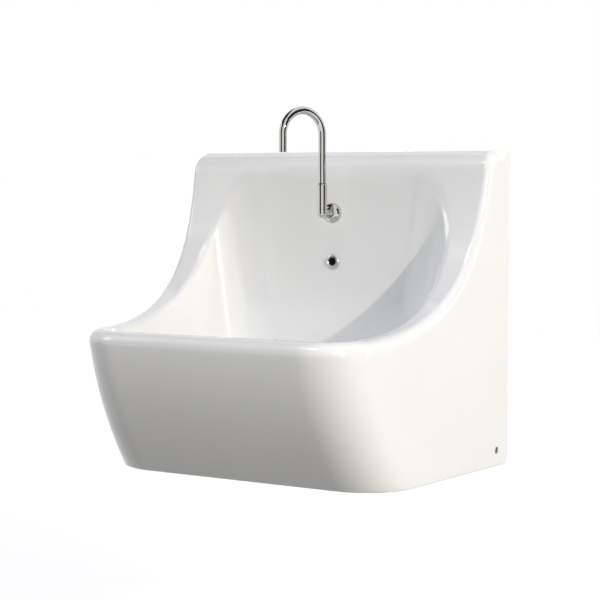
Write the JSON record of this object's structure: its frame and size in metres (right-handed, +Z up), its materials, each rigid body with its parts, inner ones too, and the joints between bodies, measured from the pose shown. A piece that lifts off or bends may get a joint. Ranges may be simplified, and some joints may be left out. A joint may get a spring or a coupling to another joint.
{
  "type": "surgical scrub trough",
  "caption": "Wall-hung glazed ceramic scrub trough for one person, with a high splashback, swept wings, a deep bowl, a chrome swivel swan-neck spout and a touch-free sensor eye.",
  "frame": {"origin": "on the wall plane, in the middle of the four wall bolts of the hangers, 550 mm above the bottom edge", "axes": "+X to the right as seen by the person washing, +Y into the wall, +Z up"},
  "size_m": [0.8, 0.6341, 0.799],
  "materials": {
    "glaze": "gloss",
    "chrome": "polished",
    "polished_steel": "polished",
    "zinc_steel": "satin",
    "brass": "satin",
    "copper": "satin",
    "black_rubber": "matt",
    "black_plastic": "matt",
    "grey_nylon": "matt",
    "white_plastic": "satin",
    "lens": "gloss"
  },
  "bodies": {
    "trough_body": {"trough": "glaze", "spout_sleeve": "chrome", "grub_screw": "zinc_steel", "spout_elbow": "chrome", "wall_flange": "chrome", "flange_gasket": "black_rubber", "tail_gasket": "black_rubber", "tail_washer": "zinc_steel", "tail_backnut": "brass", "supply_elbow": "brass", "supply_pipe": "copper", "pipe_olives": "brass", "pipe_nuts": "brass", "valve_body": "brass", "valve_coil": "black_plastic", "coil_nut": "zinc_steel", "sensor_lens": "lens", "sensor_bezel": "chrome", "sensor_body": "black_plastic", "sensor_gasket": "black_rubber", "sensor_washer": "zinc_steel", "sensor_locknut": "black_plastic", "waste_strainer": "polished_steel", "waste_seal_top": "black_rubber", "waste_seal_bottom": "black_rubber", "waste_backnut": "brass", "trap_inlet_nut": "white_plastic", "trap_inlet_seal": "black_rubber", "trap_body": "white_plastic", "trap_cup": "white_plastic", "trap_cup_seal": "black_rubber", "trap_outlet_nut": "white_plastic", "trap_outlet_seal": "black_rubber", "outlet_pipe": "white_plastic", "hanger_left": "zinc_steel", "hanger_right": "zinc_steel", "angle_left": "zinc_steel", "angle_right": "zinc_steel", "side_bushes": "grey_nylon", "side_screws": "zinc_steel", "side_nuts": "zinc_steel"},
    "spout_body": {"spout_tube": "chrome", "spout_spigot": "brass", "spout_o_rings": "black_rubber", "bearing_ring": "black_plastic", "outlet_nozzle": "chrome", "flow_straightener": "grey_nylon"}
  },
  "joints": [
    {"name": "spout_swivel", "type": "hinge", "parent": "trough_body", "child": "spout_body", "pos_m": [0, -0.13868, 0.05], "axis": [0, 0, 1], "range_deg": [-36, 84]}
  ]
}
